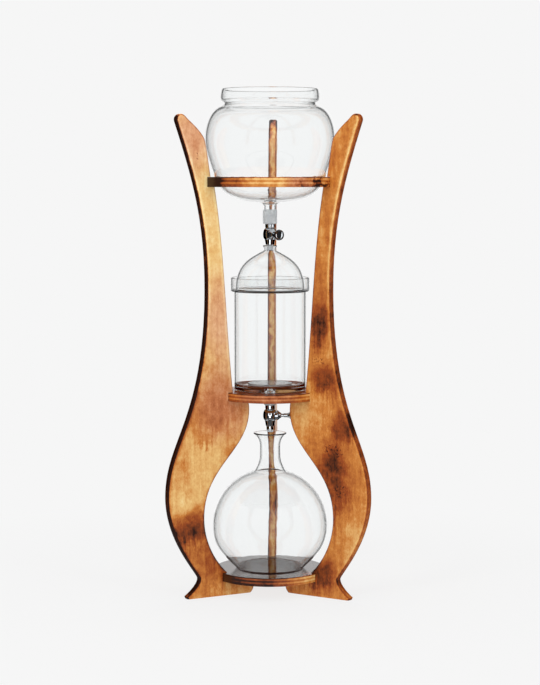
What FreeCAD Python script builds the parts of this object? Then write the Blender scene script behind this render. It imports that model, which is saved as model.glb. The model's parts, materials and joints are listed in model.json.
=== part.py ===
"""Cold drip coffee tower: three curved legs, three round boards, a water globe,
a drip valve, a glass brewer with a second valve, and a carafe.

The frame is +Z up in millimetres. The origin is on the floor at the middle of the tower's outline,
so the tower's own axis lies a little in front of it. The front is -Y and the rear leg is at +Y.
"""
import FreeCAD, Part
import math
import os
import re
from typing import NamedTuple

import Sketcher

# Every driving size: name, value in millimetres (degrees for a turn), and what it is.
SIZES = [
    ("board", 16, "thickness of the legs"),
    ("edge_round", 4.5, "rounded long edges of the legs"),
    ("notch_fit", 0.2, "play of a round board in the legs' notches"),
    ("foot_reach", 180, "tip of the foot, from the tower's axis"),
    ("foot_lip", 4.5, "height of the foot's upright tip"),
    ("foot_draft", 2, "sole's end behind the tip"),
    ("ankle_reach", 153, "narrowest part above the foot"),
    ("ankle_height", 36, "height of the ankle"),
    ("belly_reach", 218.5, "widest part of the leg"),
    ("belly_height", 194, "height of the widest part"),
    ("waist_reach", 136, "outer edge at the waist"),
    ("waist_height", 585, "height of the waist"),
    ("horn_reach", 197, "outer corner of the horn at the top"),
    ("leg_height", 904, "top of the horn"),
    ("horn_drop", 14, "horn's outer corner below its top"),
    ("horn_top", 10, "horn's top, inward from its outer corner"),
    ("slope_reach", 27, "start of the inner slope, inward from the horn's outer corner"),
    ("slope_drop", 12, "start of the inner slope below the horn's top"),
    ("shoulder_reach", 139, "inner corner below the horn"),
    ("shoulder_height", 857, "height of that corner"),
    ("ring_grip_reach", 126.5, "inner edge of the leg at the ring shelf's top"),
    ("ring_ledge_reach", 118.5, "inner edge of the leg under the ring shelf"),
    ("middle_grip_reach", 79.5, "inner edge of the leg at the middle shelf"),
    ("ledge_reach", 47, "nose of the ledge under the middle shelf"),
    ("nose_round", 9, "rounded top of that nose, along"),
    ("nose_drop", 18, "rounded top of that nose, down"),
    ("notch_slant", 1, "how far the inner edge leans within a notch"),
    ("notch_bite", 4, "how far the inner edge runs on into a notch"),
    ("hollow_reach", 142, "inner edge beside the carafe"),
    ("hollow_height", 150, "height of that hollow"),
    ("toe_reach", 38, "inner end of the toe under the base disc"),
    ("toe_round", 6, "rounded end of the toe"),
    ("toe_grip_reach", 84.5, "inner edge of the leg at the base disc"),
    ("ring_underside", 770, "ring shelf above the floor"),
    ("ring_board", 18.5, "thickness of the ring shelf"),
    ("ring_reach", 135.5, "radius of the ring shelf"),
    ("middle_underside", 369, "middle shelf above the floor"),
    ("middle_board", 16, "thickness of the middle shelf"),
    ("middle_reach", 93, "radius of the middle shelf"),
    ("middle_hole", 34, "radius of the hole for the outlet"),
    ("base_underside", 27, "base disc above the floor"),
    ("base_board", 16, "thickness of the base disc"),
    ("base_reach", 105.5, "radius of the base disc"),
    ("shelf_round", 1.5, "rounded rims of the round boards"),
    ("dowel_radius", 4, "blind dowels"),
    ("dowel_length", 30, "blind dowels, half in each piece"),
    ("end_play", 0.5, "room at the end of a dowel, screw or thread"),
    ("dowel_chamfer", 0.8, "chamfered ends of the dowels"),
    ("joint_play", 0.05, "play round a dowel, screw or threaded piece"),
    ("screw_reach", 78, "wood screws from the tower's axis"),
    ("screw_radius", 2, "shank of a wood screw"),
    ("screw_head_radius", 4, "countersunk head"),
    ("screw_length", 34, "wood screw with its head"),
    ("screw_point", 3, "pointed end of a wood screw"),
    ("screw_sink", 4, "head below the sole"),
    ("sole_bore", 4.6, "radius of the hole that the head sinks into"),
    ("seat_gap", 0.3, "room between a vessel and the edge it hangs in"),
    ("globe_wall", 3, "glass of the water globe"),
    ("globe_seat_reach", 104.3, "globe where it hangs in the ring"),
    ("globe_reach", 122.5, "widest part of the globe"),
    ("globe_middle", 69.5, "widest part above the ring shelf's top"),
    ("globe_shoulder_reach", 98, "globe where it turns into the neck"),
    ("globe_shoulder", 129.5, "that turn above the ring shelf's top"),
    ("globe_neck_reach", 85.5, "neck of the globe"),
    ("globe_neck", 138, "neck above the ring shelf's top"),
    ("globe_bead_reach", 91.6, "rim band where it leaves the neck"),
    ("globe_bead", 143, "that place above the ring shelf's top"),
    ("globe_rim_reach", 92.8, "rim band at its widest"),
    ("globe_rim_middle", 152, "rim band's widest place above the ring shelf's top"),
    ("globe_lip_reach", 90.6, "mouth, where the rim band leans in"),
    ("globe_rim_high", 165, "mouth above the ring shelf's top"),
    ("globe_depth", 47, "bottom below the ring shelf's top"),
    ("globe_outlet", 11, "radius of the globe's outlet tube"),
    ("globe_outlet_length", 29.5, "outlet tube below the globe's bottom"),
    ("globe_outlet_flare", 13, "rounding between the outlet tube and the bottom, along"),
    ("globe_outlet_rise", 9, "the same rounding, up"),
    ("outlet_wall", 2.2, "glass of both outlet tubes"),
    ("sleeve_wall", 2.6, "silicone round an outlet tube"),
    ("upper_grip", 15.5, "length of the globe's outlet tube inside its sleeve"),
    ("lower_grip", 13, "length of the brewer's outlet tube inside its sleeve"),
    ("sleeve_neck", 11.2, "length of the sleeve below the outlet tube"),
    ("sleeve_chamfer", 1, "chamfer at the sleeve's lower end"),
    ("sleeve_taper", 4, "rounded upper end of the sleeve, along it"),
    ("sleeve_lip", 0.6, "flat end of the sleeve round the glass"),
    ("metal_chamfer", 0.8, "chamfered edges of the turned metal"),
    ("valve_top", 20, "top of the valve's collar above the knob's axis"),
    ("valve_foot", 32, "end of the drip tip below the knob's axis"),
    ("collar_radius", 9.2, "collar of the valve"),
    ("collar_groove", 1, "groove between the collar and the round body"),
    ("bulb_radius", 13.3, "round body of the valve"),
    ("bulb_half", 11.5, "half height of the round body"),
    ("cone_radius", 8, "foot of the valve's lower cone"),
    ("cone_depth", 20, "foot of the cone below the knob's axis"),
    ("cone_top_radius", 10, "lower cone where it meets the round body"),
    ("cone_top", 9.5, "that place below the knob's axis"),
    ("spigot_radius", 6.5, "spigot inside the sleeve"),
    ("spigot_length", 17, "spigot above the collar"),
    ("flow_radius", 2.5, "way through the valve"),
    ("tip_top_radius", 6.9, "drip tip under the cone"),
    ("tip_end_radius", 6.2, "end of the drip tip"),
    ("tip_thread", 4.4, "radius of the drip tip's thread"),
    ("tip_thread_length", 7, "thread up inside the valve"),
    ("drip_radius", 1.5, "way through the drip tip"),
    ("plug_radius", 4.5, "turning plug"),
    ("plug_fit", 0.06, "running play round the plug and its stem"),
    ("plug_back", 9, "plug behind the flow"),
    ("plug_front", 8, "plug in front of the flow"),
    ("seal_section", 0.7, "radius of a rubber ring's section"),
    ("seal_place", 6.4, "rubber rings on each side of the flow"),
    ("seal_gap", 0.03, "room between a rubber ring and the bore"),
    ("seal_room", 0.05, "room beside and under a rubber ring in its groove"),
    ("stem_radius", 3.2, "stem from the plug to the knob"),
    ("nut_face", 13.4, "face of the gland nut from the flow"),
    ("nut_radius", 9.6, "gland nut at that face"),
    ("nut_rim", 1.6, "straight rim of the gland nut"),
    ("nut_end", 21.5, "small end of the gland nut"),
    ("nut_end_radius", 4.7, "its radius there"),
    ("nut_thread", 6.4, "radius of the gland nut's thread"),
    ("nut_gap", 0.3, "room between nut, plug and knob"),
    ("knob_start", 26, "small end of the knob"),
    ("knob_waist", 3.9, "radius of the knob there"),
    ("knob_flare", 32, "where the knob starts to flare"),
    ("knob_end", 44, "face of the knob from the flow"),
    ("knob_radius", 10.2, "face of the knob"),
    ("knob_rim", 2, "straight rim of the knob"),
    ("knob_face_rim", 2.2, "flat rim of the knob's face"),
    ("knob_dish", 1.4, "depth of the hollow in the knob's face"),
    ("stem_end", 38, "end of the stem inside the knob"),
    ("upper_knob_turn", -65, "way the upper knob points, from +X"),
    ("lower_knob_turn", 0, "way the lower knob points, from +X"),
    ("cylinder_radius", 68.3, "glass cylinder"),
    ("cylinder_wall", 2.6, "glass of the cylinder, its collar and the dome"),
    ("cylinder_floor", 9, "glass floor of the cylinder"),
    ("cylinder_heel", 3, "rounded outer corner at the bottom, the step and the collar"),
    ("cylinder_hollow", 6, "rounded inner corner at the floor"),
    ("corner_round", 1, "small roundings at the cylinder's step and the dome's lip"),
    ("cylinder_step", 188, "step under the collar, above the shelf"),
    ("collar_reach", 74.8, "wide collar of the cylinder"),
    ("cylinder_height", 214, "mouth above the shelf"),
    ("brewer_outlet", 9, "radius of the cylinder's outlet tube"),
    ("brewer_outlet_length", 17, "outlet tube below the shelf's top"),
    ("brewer_outlet_flare", 4, "rounding between that tube and the floor, along"),
    ("filter_radius", 42, "sintered glass filter disc"),
    ("filter_board", 3, "thickness of the filter disc"),
    ("gasket_height", 2, "silicone ring under the filter disc"),
    ("gasket_width", 5, "width of that ring"),
    ("gasket_round", 0.5, "rounded edge of that ring"),
    ("filter_round", 0.8, "rounded edge of the filter disc"),
    ("dome_radius", 64.8, "glass dome"),
    ("dome_rise", 74, "top of the dome above its lip"),
    ("lip_play", 1.2, "play of the dome's lip in the collar"),
    ("dome_neck_radius", 11, "waist of the short neck on the dome"),
    ("dome_neck_flare", 2, "rounding where the dome meets its neck"),
    ("dome_mouth_radius", 13.5, "flared end of that neck"),
    ("dome_neck_rise", 10.3, "end of the neck above the dome"),
    ("carafe_wall", 2.6, "glass of the carafe"),
    ("carafe_flat", 60, "flat bottom of the carafe"),
    ("carafe_foot_reach", 65.5, "foot of the carafe where the belly starts"),
    ("carafe_foot_rise", 2.2, "that place above the base disc"),
    ("carafe_reach", 109.4, "widest part of the carafe"),
    ("carafe_middle", 81, "widest part above the base disc"),
    ("carafe_shoulder_reach", 31, "top of the carafe's belly"),
    ("carafe_shoulder_rise", 186.4, "top of the belly above the base disc"),
    ("carafe_neck_foot", 27.8, "neck where it leaves the belly"),
    ("carafe_neck_foot_rise", 189.5, "that place above the base disc"),
    ("carafe_neck_reach", 19.6, "waist of the neck"),
    ("carafe_neck_rise", 216, "waist above the base disc"),
    ("carafe_mouth_reach", 31.5, "flared mouth"),
    ("mouth_gap", 1, "mouth of the carafe below the lower drip tip"),
]
LEGS = 3
LEG_NAMES = ("leg_rear", "leg_front_left", "leg_front_right")
REAR = 90
UPRIGHT = "V_Axis"
LEVEL = "H_Axis"
FULL_TURN = 360

# Directions on an outline, in degrees.
OUT, UP, IN, DOWN = 0, 90, 180, 270

# Shares that shape the curves: a quarter circle's handles by its radius, the handles of a
# fire-polished rim by its wall, and the handles of a free rounding by its chord.
QUARTER = 0.5523
BEAD_PULL = 2 / 3
FREE_ROUND = 0.4

# A length below NOTHING counts as nothing, and a cut starts OVERCUT outside its piece.
NOTHING = 1e-6
OVERCUT = 1
NAMES = {name for name, _, _ in SIZES}

# Places that more than one piece uses, worked out from the sizes.
AXIS_Y = "(ring_reach - belly_reach) / 2"
RING_TOP = "(ring_underside + ring_board)"
MIDDLE_TOP = "(middle_underside + middle_board)"
BASE_TOP = "(base_underside + base_board)"
GLOBE_BOTTOM = f"({RING_TOP} - globe_depth)"
UPPER_TUBE_END = f"({GLOBE_BOTTOM} - globe_outlet_length)"
UPPER_VALVE = f"({UPPER_TUBE_END} - seat_gap - sleeve_neck - valve_top)"
LOWER_TUBE_END = f"({MIDDLE_TOP} - brewer_outlet_length)"
LOWER_VALVE = f"({LOWER_TUBE_END} - seat_gap - sleeve_neck - valve_top)"
COLLAR_INSIDE = "(collar_reach - cylinder_wall)"
DOME_SEAT = f"({MIDDLE_TOP} + cylinder_step + cylinder_wall)"
MOUTH_TOP = f"({LOWER_VALVE} - valve_foot - mouth_gap)"

doc = FreeCAD.newDocument("cold_drip_tower")
sheet = doc.addObject("Spreadsheet::Sheet", "Sizes")
for row, (name, size, note) in enumerate(SIZES, start=1):
    sheet.set(f"A{row}", note)
    sheet.set(f"B{row}", str(size))
    sheet.setAlias(f"B{row}", name)
doc.recompute()


def bind(expression):
    """Put the sheet's name before each size in an expression."""
    found = lambda word: "Sizes." + word.group(0) if word.group(0) in NAMES else word.group(0)
    return re.sub(r"[a-z][a-z_]*", found, str(expression))


def value(expression):
    """Work out an expression from the sheet."""
    return float(sheet.evalExpression(bind(expression)))


def point(place):
    """Present place of a sketch point given as two expressions."""
    return FreeCAD.Vector(value(place[0]), value(place[1]), 0)


def hold(sketch, points):
    """Tie points of a sketch, each a geometry, its end and its place, to their expressions."""
    ties = []
    expressions = []
    for geometry, end, place in points:
        for kind, axis, expression in (("DistanceX", -2, place[0]), ("DistanceY", -1, place[1])):
            size = value(expression)
            on_axis = abs(size) < NOTHING
            if on_axis:
                ties.append(Sketcher.Constraint("PointOnObject", geometry, end, axis))
            else:
                ties.append(Sketcher.Constraint(kind, -1, 1, geometry, end, size))
            expressions.append(None if on_axis else expression)
    first = sketch.ConstraintCount
    sketch.addConstraint(ties)
    for number, expression in enumerate(expressions, start=first):
        if expression is not None:
            sketch.setExpression(f"Constraints[{number}]", bind(expression))


def draw(sketch, path):
    """Draw a closed outline. A step of two values is a straight line to that point, and a step
    of three points is a curve with two control points and an end."""
    sides = []
    inner = []
    ties = []
    here = path[0]
    for step in path[1:] + [path[0]]:
        if len(step) == 2:
            if point(here).distanceToPoint(point(step)) < NOTHING:
                continue
            side = sketch.addGeometry(Part.LineSegment(point(here), point(step)), False)
        else:
            poles = [point(here)] + [point(place) for place in step]
            side = sketch.addGeometry(Part.BSplineCurve(poles, None, None, False, 3, None, False), False)
            for number, pole in enumerate(poles):
                circle = Part.Circle(pole, FreeCAD.Vector(0, 0, 1), 1)
                handle = sketch.addGeometry(circle, True)
                ties.append(Sketcher.Constraint("Weight", handle, 1.0))
                ties.append(Sketcher.Constraint("InternalAlignment:Sketcher::BSplineControlPoint",
                                                handle, 3, side, number))
                if number in (1, 2):
                    inner.append((handle, 3, step[number - 1]))
        sides.append((side, 1, here))
        here = step if len(step) == 2 else step[2]
    for number, side in enumerate(sides):
        after = sides[(number + 1) % len(sides)]
        ties.append(Sketcher.Constraint("Coincident", side[0], 2, after[0], 1))
    sketch.addConstraint(ties)
    hold(sketch, sides + inner)


def place(item, height="0", turn=0):
    """Stand an object on the tower's axis at a height, turned about that axis."""
    item.Placement = FreeCAD.Placement(FreeCAD.Vector(0, 0, 0), FreeCAD.Rotation(value(turn), 0, 0))
    item.setExpression("Placement.Base.y", bind(AXIS_Y))
    item.setExpression("Placement.Base.z", bind(height))


def new_body(label):
    """Start a body for one sub-part."""
    body = doc.addObject("PartDesign::Body", label)
    body.Label = label
    return body


def origin_item(body, role):
    """Find one of the body's own planes or axes."""
    return next(item for item in body.Origin.OriginFeatures if item.Role == role)


def new_sketch(body, *paths):
    """Draw outlines on the body's own upright plane, with X along and Z up."""
    sketch = body.newObject("Sketcher::SketchObject", body.Name + "_sketch")
    sketch.AttachmentSupport = (origin_item(body, "XZ_Plane"), [""])
    sketch.MapMode = "FlatFace"
    for path in paths:
        draw(sketch, path)
    return sketch


def axis_line(sketch, start, end):
    """Add a construction line that a turned shape can turn about."""
    line = sketch.addGeometry(Part.LineSegment(point(start), point(end)), True)
    hold(sketch, [(line, 1, start), (line, 2, end)])
    return "Axis0"


def turn_about(body, kind, sketch, axis):
    """Make a turned feature from a sketch, about an upright, level or drawn axis."""
    feature = body.newObject("PartDesign::" + kind, body.Name + "_" + kind.lower())
    feature.Profile = sketch
    feature.ReferenceAxis = (sketch, [axis])
    feature.Angle = FULL_TURN
    doc.recompute()
    return feature


def turned(body, *paths, axis=UPRIGHT):
    """Add a solid turned from half outlines."""
    return turn_about(body, "Revolution", new_sketch(body, *paths), axis)


def cut_check(body, before):
    """Make sure that a cut removed something."""
    if not body.Shape.Volume < before - NOTHING:
        raise RuntimeError(f"{body.Label}: a cut removes nothing")


def bored(body, path, axis=UPRIGHT, line=None):
    """Cut a turned shape away, about one of the sketch's axes or about a drawn line."""
    before = body.Shape.Volume
    sketch = new_sketch(body, path)
    if line:
        axis = axis_line(sketch, *line)
    feature = turn_about(body, "Groove", sketch, axis)
    cut_check(body, before)
    return feature


def spread(body, features):
    """Repeat features round the tower's axis, once for each leg."""
    pattern = body.newObject("PartDesign::PolarPattern", body.Name + "_spread")
    pattern.Originals = features
    pattern.Axis = (origin_item(body, "Z_Axis"), [""])
    pattern.Angle = FULL_TURN
    pattern.Occurrences = LEGS
    body.Tip = pattern
    doc.recompute()
    return pattern


def rectangle(left, right, low, high):
    """Outline of a rectangle between two places along and two places up."""
    return [(left, low), (right, low), (right, high), (left, high)]


class Knot(NamedTuple):
    """A place on an outline that is drawn along its outside. It has a reach, a height and the
    direction in degrees in which the outside runs on. Its curves leave and arrive by a share of
    the distance to the next knot, and no share on either side is a straight line. On glass it
    also has the wall there, and the faces of the wall that go through it."""
    reach: str
    height: str
    heading: float = 0
    arrive: float = 0
    leave: float = 0
    wall: str = ""
    faces: str = "both"


def outside(knot):
    """The knot's own place."""
    return knot.reach, knot.height


def inside(knot):
    """The place one wall further in."""
    if knot.faces == "inside":
        return outside(knot)
    sine, cosine = math.sin(math.radians(knot.heading)), math.cos(math.radians(knot.heading))
    return f"{knot.reach} - {knot.wall} * {sine:.4f}", f"{knot.height} + {knot.wall} * {cosine:.4f}"


def rim(reach, top, heading, wall, arrive=0):
    """The knot at a fire-polished rim, from the rim's widest reach and its top."""
    sine, cosine = math.sin(math.radians(heading)), math.cos(math.radians(heading))
    return Knot(f"{reach} - {wall} * {(1 - sine) / 2:.4f}", f"{top} - {wall} * {(1 + cosine) / 2:.4f}",
                heading, arrive=arrive, wall=wall)


def pulled(place, heading, length):
    """A curve's control point, from a place along a heading."""
    sine, cosine = math.sin(math.radians(heading)), math.cos(math.radians(heading))
    return f"{place[0]} + {length} * {cosine:.4f}", f"{place[1]} + {length} * {sine:.4f}"


def curve(first, second, start, end, back=False):
    """One side of an outline, from a start to an end that two knots give. Back runs it the other
    way, from the second knot's place to the first's."""
    if not first.leave and not second.arrive:
        return start if back else end
    chord = f"sqrt(({end[0]} - ({start[0]}))^2 + ({end[1]} - ({start[1]}))^2)"
    away = pulled(start, first.heading, f"{first.leave} * {chord}")
    near = pulled(end, second.heading, f"-{second.arrive} * {chord}")
    return (near, away, start) if back else (away, near, end)


def curved(knots):
    """Outline that follows its knots."""
    path = [outside(knots[0])]
    for first, second in zip(knots, knots[1:]):
        path.append(curve(first, second, outside(first), outside(second)))
    return path


def glass_path(knots):
    """Half outline of a blown glass wall. It follows the knots along the outside, goes over the
    fire-polished rim and comes back along the inside."""
    lip = knots[-1]
    bead = f"{lip.wall} * {BEAD_PULL:.4f}"
    path = curved([knot for knot in knots if knot.faces != "inside"])
    path.append((pulled(outside(lip), lip.heading, bead), pulled(inside(lip), lip.heading, bead),
                 inside(lip)))
    inner = [knot for knot in knots if knot.faces != "outside"]
    for second, first in zip(inner[::-1], inner[-2::-1]):
        path.append(curve(first, second, inside(first), inside(second), back=True))
    return path


def rounded_board(inner, outer, low, high, corner):
    """Half outline of a round board whose outer rim is rounded above and below."""
    quarter = f"{corner} * {QUARTER}"
    near = f"({outer} - {corner})"
    return [(inner, low), (near, low),
            ((f"{near} + {quarter}", low), (outer, f"{low} + {corner} - {quarter}"),
             (outer, f"{low} + {corner}")),
            (outer, f"{high} - {corner}"),
            ((outer, f"{high} - {corner} + {quarter}"), (f"{near} + {quarter}", high), (near, high)),
            (inner, high)]


def ring_section(along, up, radius):
    """Outline of a round section, as four quarter curves."""
    pull = f"{radius} * {QUARTER}"
    right, left = f"{along} + {radius}", f"{along} - {radius}"
    top, bottom = f"{up} + {radius}", f"{up} - {radius}"
    return [(right, up),
            ((right, f"{up} + {pull}"), (f"{along} + {pull}", top), (along, top)),
            ((f"{along} - {pull}", top), (left, f"{up} + {pull}"), (left, up)),
            ((left, f"{up} - {pull}"), (f"{along} - {pull}", bottom), (along, bottom)),
            ((f"{along} + {pull}", bottom), (right, f"{up} - {pull}"), (right, up))]


def leg_outline():
    """Side view of a leg before its notches: outside up from the sole, over the horn, inside down
    past the ring shelf, the middle shelf's ledge, the carafe's hollow and the toe."""
    return curved([
        Knot("foot_reach - foot_draft", "0"),
        Knot("foot_reach", "foot_lip", heading=149, leave=0.28),
        Knot("ankle_reach", "ankle_height", UP, arrive=0.24, leave=0.05),
        Knot("belly_reach", "belly_height", UP, arrive=0.485, leave=0.274),
        Knot("waist_reach", "waist_height", UP, arrive=0.626, leave=0.418),
        Knot("horn_reach", "leg_height - horn_drop", heading=70.7, arrive=0.32, leave=0.43),
        Knot("horn_reach - horn_top", "leg_height", IN, arrive=0.41, leave=0.34),
        Knot("horn_reach - slope_reach", "leg_height - slope_drop", heading=218.7, arrive=0.37, leave=0.33),
        Knot("shoulder_reach", "shoulder_height", heading=253.3, arrive=0.22, leave=0.2),
        Knot("ring_grip_reach", f"{RING_TOP} - notch_bite", heading=260.5, arrive=0.33),
        Knot("ring_ledge_reach + notch_slant", "ring_underside + notch_bite", heading=260.3, leave=0.34),
        Knot("middle_grip_reach + notch_slant", f"{MIDDLE_TOP} - notch_bite * 2", heading=263.4,
             arrive=0.36),
        Knot("ledge_reach + nose_round", "middle_underside + notch_bite", heading=198.4, leave=0.27),
        Knot("ledge_reach", "middle_underside - nose_drop", DOWN, arrive=0.59, leave=0.36),
        Knot("hollow_reach", "hollow_height", DOWN, arrive=0.454, leave=0.35),
        Knot("toe_grip_reach", f"{BASE_TOP} - notch_bite * 2", heading=218, arrive=0.34),
        Knot("toe_reach + toe_round", f"{BASE_TOP} - notch_bite * 2", heading=240, leave=0.36),
        Knot("toe_reach", "base_underside / 2", DOWN, arrive=0.36, leave=0.47),
        Knot("toe_reach + toe_round", "0", heading=315, arrive=0.3),
    ])


def in_a_notch(edge):
    """Tell whether an edge of the leg blank lies where a board's notch will take it away."""
    low, high = edge.BoundBox.ZMin, edge.BoundBox.ZMax
    boards = (("base_underside", BASE_TOP), ("middle_underside", MIDDLE_TOP), ("ring_underside", RING_TOP))
    return any(value(under) < low and high < value(top) for under, top in boards)


def make_leg(label, turn):
    """One curved leg: a flat board with rounded edges, notched for the three round boards."""
    body = new_body(label)
    pad = body.newObject("PartDesign::Pad", label + "_board")
    pad.Profile = new_sketch(body, leg_outline())
    pad.setExpression("Length", bind("board"))
    pad.SideType = "Symmetric"
    doc.recompute()
    half = value("board") / 2
    rounded = []
    for number, edge in enumerate(pad.Shape.Edges, start=1):
        box = edge.BoundBox
        on_a_side = box.YLength < NOTHING and abs(abs(box.YMin) - half) < NOTHING
        on_the_sole = box.ZMax < NOTHING
        if on_a_side and not on_the_sole and not in_a_notch(edge):
            rounded.append(f"Edge{number}")
    fillet = body.newObject("PartDesign::Fillet", label + "_rounded")
    fillet.Base = (pad, rounded)
    fillet.setExpression("Radius", bind("edge_round"))
    doc.recompute()
    for reach, low, high in (("ring_reach", "ring_underside", RING_TOP),
                             ("middle_reach", "middle_underside", MIDDLE_TOP),
                             ("base_reach", "base_underside", BASE_TOP)):
        bored(body, rectangle(0, f"{reach} + notch_fit", low, f"{high} + notch_fit"))
    for reach, low, thick in (("ring_reach", "ring_underside", "ring_board"),
                              ("middle_reach", "middle_underside", "middle_board")):
        middle = f"({low} + {thick} / 2)"
        far = f"{reach} + dowel_length / 2 + end_play"
        bored(body, rectangle(reach, far, middle, f"{middle} + dowel_radius + joint_play"),
              line=((reach, middle), (far, middle)))
    low, high = f"-{OVERCUT}", f"base_underside + {OVERCUT}"
    shank = "screw_reach + screw_radius + joint_play"
    bored(body, [("screw_reach", low), ("screw_reach + sole_bore", low),
                 ("screw_reach + sole_bore", "screw_sink"),
                 (shank, "screw_sink + screw_head_radius - screw_radius"), (shank, high),
                 ("screw_reach", high)],
          line=(("screw_reach", low), ("screw_reach", high)))
    place(body, turn=turn)
    return body


def make_shelf(label, inner, outer, low, thick):
    """A round board with blind holes for the dowels in its rim, lying on the legs' ledges."""
    body = new_body(label)
    turned(body, rounded_board(inner, outer, f"-{thick} / 2", f"{thick} / 2", "shelf_round"))
    depth = f"{outer} - dowel_length / 2 - end_play"
    hole = bored(body, rectangle(depth, f"{outer} + {OVERCUT}", 0, "dowel_radius + joint_play"), axis=LEVEL)
    spread(body, [hole])
    place(body, f"{low} + {thick} / 2", REAR)
    return body


def make_dowels(label, reach, low, thick):
    """One blind dowel for each leg, half in the leg and half in the board."""
    body = new_body(label)
    back, front = f"{reach} - dowel_length / 2", f"{reach} + dowel_length / 2"
    end = "dowel_radius - dowel_chamfer"
    dowel = turned(body, [(back, 0), (front, 0), (front, end), (f"{front} - dowel_chamfer", "dowel_radius"),
                          (f"{back} + dowel_chamfer", "dowel_radius"), (back, end)], axis=LEVEL)
    spread(body, [dowel])
    place(body, f"{low} + {thick} / 2", REAR)
    return body


def make_base_disc():
    """The round board that the carafe stands on, with pilot holes for the screws from below."""
    body = new_body("base_disc")
    turned(body, rounded_board(0, "base_reach", "base_underside", BASE_TOP, "shelf_round"))
    low, top = f"base_underside - {OVERCUT}", "screw_sink + screw_length + end_play"
    hole = bored(body, rectangle("screw_reach", "screw_reach + screw_radius + joint_play", low, top),
                 line=(("screw_reach", low), ("screw_reach", top)))
    spread(body, [hole])
    place(body, turn=REAR)
    return body


def make_base_screws():
    """One countersunk wood screw up through each toe into the base disc."""
    body = new_body("base_disc_screws")
    edge = "screw_reach + screw_radius"
    top = "screw_sink + screw_length"
    sketch = new_sketch(body, [("screw_reach", "screw_sink"),
                               ("screw_reach + screw_head_radius", "screw_sink"),
                               (edge, "screw_sink + screw_head_radius - screw_radius"),
                               (edge, f"{top} - screw_point"), ("screw_reach", top)])
    axis = axis_line(sketch, ("screw_reach", "screw_sink"), ("screw_reach", top))
    spread(body, [turn_about(body, "Revolution", sketch, axis)])
    place(body, turn=REAR)
    return body


def make_globe():
    """The water globe: outlet tube, flattened ball, short neck and a rounded rim band."""
    low, seat = GLOBE_BOTTOM, RING_TOP
    body = new_body("water_globe")
    turned(body, glass_path([
        Knot("globe_outlet", UPPER_TUBE_END, UP, wall="outlet_wall"),
        Knot("globe_outlet", f"{low} - globe_outlet_rise", UP, leave=0.32, wall="outlet_wall"),
        Knot("globe_outlet + globe_outlet_flare", low, heading=3, arrive=0.44, leave=0.473,
             wall="globe_wall"),
        Knot("globe_seat_reach", seat, heading=72, arrive=0.355, leave=0.278, wall="globe_wall"),
        Knot("globe_reach", f"{seat} + globe_middle", UP, arrive=0.334, leave=0.447, wall="globe_wall"),
        Knot("globe_shoulder_reach", f"{seat} + globe_shoulder", heading=150, arrive=0.244, leave=0.45,
             wall="globe_wall"),
        Knot("globe_neck_reach", f"{seat} + globe_neck", UP, arrive=0.25, leave=0.25, wall="globe_wall"),
        Knot("globe_bead_reach", f"{seat} + globe_bead", heading=52, arrive=0.3, leave=0.25,
             wall="globe_wall"),
        Knot("globe_rim_reach", f"{seat} + globe_rim_middle", UP, arrive=0.45, leave=0.4,
             wall="globe_wall"),
        rim("globe_lip_reach", f"{seat} + globe_rim_high", heading=112, wall="globe_wall", arrive=0.3),
    ]))
    place(body)
    return body


def make_cylinder():
    """The brewing cylinder: outlet tube, thick floor, straight wall and a wide collar."""
    step = f"({MIDDLE_TOP} + cylinder_step)"
    floor = f"{MIDDLE_TOP} + cylinder_floor"
    bore = "cylinder_radius - cylinder_wall"
    body = new_body("brew_cylinder")
    turned(body, glass_path([
        Knot("brewer_outlet", LOWER_TUBE_END, UP, wall="outlet_wall"),
        Knot("brewer_outlet", f"{MIDDLE_TOP} - cylinder_heel", UP, leave=FREE_ROUND, wall="outlet_wall"),
        Knot("brewer_outlet + brewer_outlet_flare", MIDDLE_TOP, OUT, arrive=FREE_ROUND,
             wall="cylinder_floor"),
        Knot("cylinder_radius - cylinder_heel", MIDDLE_TOP, OUT, leave=FREE_ROUND, faces="outside"),
        Knot("cylinder_radius", f"{MIDDLE_TOP} + cylinder_heel", UP, arrive=FREE_ROUND, faces="outside"),
        Knot(f"{bore} - cylinder_hollow", floor, OUT, leave=FREE_ROUND, faces="inside"),
        Knot(bore, f"{floor} + cylinder_hollow", UP, arrive=FREE_ROUND, faces="inside"),
        Knot("cylinder_radius", f"{step} - corner_round", UP, leave=FREE_ROUND, wall="cylinder_wall"),
        Knot("cylinder_radius + corner_round", step, OUT, arrive=FREE_ROUND, wall="cylinder_wall"),
        Knot("collar_reach - cylinder_heel", step, OUT, leave=FREE_ROUND, wall="cylinder_wall"),
        Knot("collar_reach", f"{step} + cylinder_heel", UP, arrive=FREE_ROUND, wall="cylinder_wall"),
        rim("collar_reach", f"{MIDDLE_TOP} + cylinder_height", UP, wall="cylinder_wall"),
    ]))
    place(body)
    return body


def make_dome():
    """The dome lid: a flat lip that lies on the collar's step, a tall dome and a short flared neck."""
    lip = f"({DOME_SEAT} + cylinder_wall)"
    top = f"({DOME_SEAT} + dome_rise)"
    body = new_body("dome_lid")
    turned(body, glass_path([
        Knot(f"{COLLAR_INSIDE} - lip_play", lip, IN, wall="cylinder_wall"),
        Knot("dome_radius + corner_round", lip, IN, leave=FREE_ROUND, wall="cylinder_wall"),
        Knot("dome_radius", f"{lip} + corner_round", UP, arrive=FREE_ROUND, leave=0.5,
             wall="cylinder_wall"),
        Knot("dome_neck_radius + dome_neck_flare", top, heading=154, arrive=0.34, leave=0.35,
             wall="cylinder_wall"),
        Knot("dome_neck_radius", f"{top} + dome_neck_flare", UP, arrive=0.35, leave=0.4,
             wall="cylinder_wall"),
        rim("dome_mouth_radius", f"{top} + dome_neck_rise", heading=60, wall="cylinder_wall", arrive=0.3),
    ]))
    place(body)
    return body


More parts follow.
